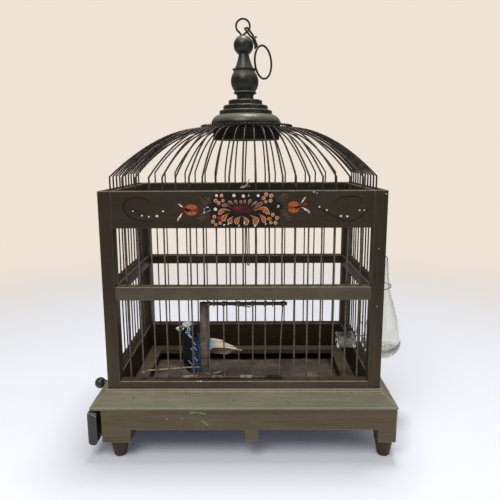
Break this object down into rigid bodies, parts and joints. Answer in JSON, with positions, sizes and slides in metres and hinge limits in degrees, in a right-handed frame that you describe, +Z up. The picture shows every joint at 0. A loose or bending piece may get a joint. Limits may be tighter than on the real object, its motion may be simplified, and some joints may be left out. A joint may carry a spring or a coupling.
{
  "type": "bird cage",
  "caption": "Painted wood and wire bird cage with a domed wire top, turned finial, slide-out tray, flap door, side glass drinker and a small perched bird.",
  "frame": {"origin": "centre of the bounding box at floor level, under the cage on its feet", "axes": "+X to the cage's right seen from the front, +Y to the back, +Z up; the painted board and the door face -Y and the tray slides out to -X"},
  "size_m": [0.379, 0.217, 0.4709],
  "materials": {
    "painted_wood": "dark olive-brown paint, worn at the edges",
    "bare_wood": "bare, aged",
    "dark_wire": "dark brown, aged",
    "perch_wood": "ribbed, dull",
    "liner_paper": "creased paper",
    "clear_glass": "clear, gloss",
    "feathers": "barred blue and brown",
    "pale_feathers": "pale grey-blue"
  },
  "bodies": {
    "cage": {"base_ledges": "painted_wood", "binding_ring": "dark_wire", "bird_body": "feathers", "bird_claws": "dark_wire", "bird_head": "pale_feathers", "bird_tail": "feathers", "bird_wings": "feathers", "corner_blocks": "painted_wood", "crown": "painted_wood", "door_staples": "dark_wire", "drinker_bulb": "clear_glass", "drinker_cup": "clear_glass", "drinker_ties": "dark_wire", "feet": "painted_wood", "finial": "painted_wood", "front_apron": "painted_wood", "front_bars": "dark_wire", "front_dome_wires": "dark_wire", "front_lower_board": "painted_wood", "front_mid_rail": "painted_wood", "front_moulding": "painted_wood", "front_posts": "painted_wood", "front_top_board": "painted_wood", "hanging_eye": "dark_wire", "hub_disc": "painted_wood", "left_moulding": "painted_wood", "perch_dowel": "perch_wood", "perch_hangers": "dark_wire", "rear_apron": "painted_wood", "rear_bars": "dark_wire", "rear_dome_wires": "dark_wire", "rear_lower_board": "painted_wood", "rear_mid_rail": "painted_wood", "rear_moulding": "painted_wood", "rear_posts": "painted_wood", "rear_top_board": "painted_wood", "right_apron": "painted_wood", "right_moulding": "painted_wood", "side_bars": "dark_wire", "side_dome_wires": "dark_wire", "side_lower_boards": "painted_wood", "side_mid_rails": "painted_wood", "side_top_boards": "painted_wood", "tray_runners": "bare_wood", "treat_hook_tie": "dark_wire"},
    "door": {"door_top_bar": "dark_wire", "door_wires": "dark_wire", "door_bottom_bar": "dark_wire", "door_sleeves": "dark_wire", "door_stop": "dark_wire"},
    "tray": {"tray_end_board": "painted_wood", "tray_floor": "bare_wood", "tray_rim": "bare_wood", "tray_liner": "liner_paper", "tray_knob": "painted_wood"},
    "hanging_ring": {"hanging_ring": "dark_wire"},
    "treat_hook": {"treat_hook": "dark_wire"}
  },
  "joints": [
    {"name": "door_hinge", "type": "hinge", "parent": "cage", "child": "door", "pos_m": [0, -0.0865, 0.1676], "axis": [-1, 0, 0], "range_deg": [0, 85]},
    {"name": "tray_slide", "type": "slide", "parent": "cage", "child": "tray", "axis": [-1, 0, 0], "range_m": [0, 0.22]},
    {"name": "ring_swing", "type": "hinge", "parent": "cage", "child": "hanging_ring", "pos_m": [0, 0, 0.4624], "axis": [0, -1, 0], "range_deg": [0, 150]},
    {"name": "treat_hook_swing", "type": "hinge", "parent": "cage", "child": "treat_hook", "pos_m": [0.003, -0.0842, 0.289], "axis": [1, 0, 0], "range_deg": [0, 60]}
  ]
}
